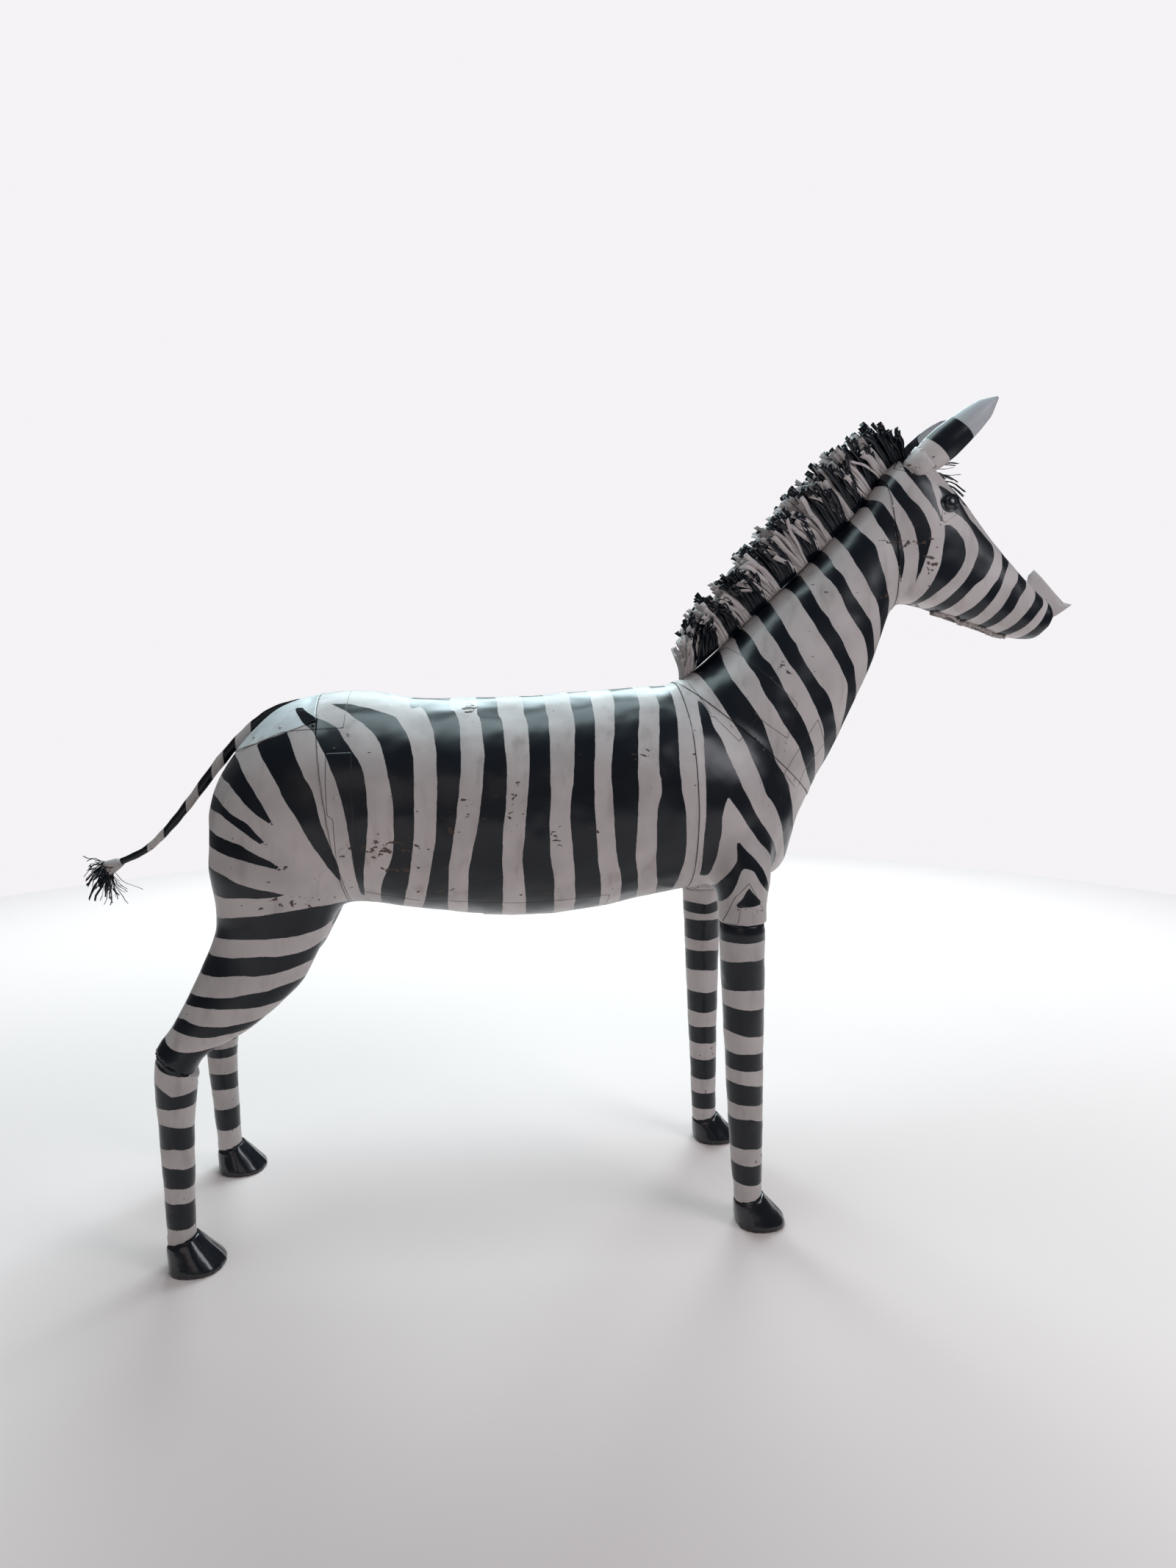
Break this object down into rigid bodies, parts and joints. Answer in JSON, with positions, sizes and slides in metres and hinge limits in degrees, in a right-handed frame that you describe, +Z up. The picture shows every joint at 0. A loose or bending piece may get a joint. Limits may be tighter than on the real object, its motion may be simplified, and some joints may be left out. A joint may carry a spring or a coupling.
{
  "type": "zebra sculpture",
  "caption": "Life-size standing zebra made of lapped painted metal sheets, with tube legs on flared hooves, a strip mane, leaf ears, domed eyes and a thin tail ending in a tuft.",
  "frame": {"origin": "on the floor plane, under the middle of the whole box", "axes": "+X towards the nose, +Y towards the animal's left side, +Z up"},
  "size_m": [2.5816, 0.556, 2.0609],
  "materials": {
    "barrel": "white paint with black stripes, chipped and scratched",
    "croup": "white paint with black stripes, chipped and scratched",
    "ear_left": "white paint with black stripes, chipped and scratched",
    "ear_right": "white paint with black stripes, chipped and scratched",
    "eye_left": "black gloss paint",
    "eye_right": "black gloss paint",
    "fore_hoof_left": "black gloss paint",
    "fore_hoof_right": "black gloss paint",
    "foreleg_left": "white paint with black stripes, chipped and scratched",
    "foreleg_right": "white paint with black stripes, chipped and scratched",
    "forelock": "black gloss paint",
    "haunch_left": "white paint with black stripes, chipped and scratched",
    "haunch_right": "white paint with black stripes, chipped and scratched",
    "head": "white paint with black stripes, chipped and scratched",
    "hind_hoof_left": "black gloss paint",
    "hind_hoof_right": "black gloss paint",
    "mane": "black and white gloss paint in bands",
    "neck": "white paint with black stripes, chipped and scratched",
    "nose_plate": "white-painted bare-edged sheet",
    "shank_left": "white paint with black stripes, chipped and scratched",
    "shank_right": "white paint with black stripes, chipped and scratched",
    "shoulders": "white paint with black stripes, chipped and scratched",
    "tail": "black and white gloss paint in bands",
    "tail_tuft": "white paint with black stripes, chipped and scratched"
  },
  "bodies": {
    "root": {"barrel": "barrel", "croup": "croup", "ear_left": "ear_left", "ear_right": "ear_right", "eye_left": "eye_left", "eye_right": "eye_right", "fore_hoof_left": "fore_hoof_left", "fore_hoof_right": "fore_hoof_right", "foreleg_left": "foreleg_left", "foreleg_right": "foreleg_right", "forelock": "forelock", "haunch_left": "haunch_left", "haunch_right": "haunch_right", "head": "head", "hind_hoof_left": "hind_hoof_left", "hind_hoof_right": "hind_hoof_right", "mane": "mane", "neck": "neck", "nose_plate": "nose_plate", "shank_left": "shank_left", "shank_right": "shank_right", "shoulders": "shoulders", "tail": "tail", "tail_tuft": "tail_tuft"}
  },
  "joints": []
}
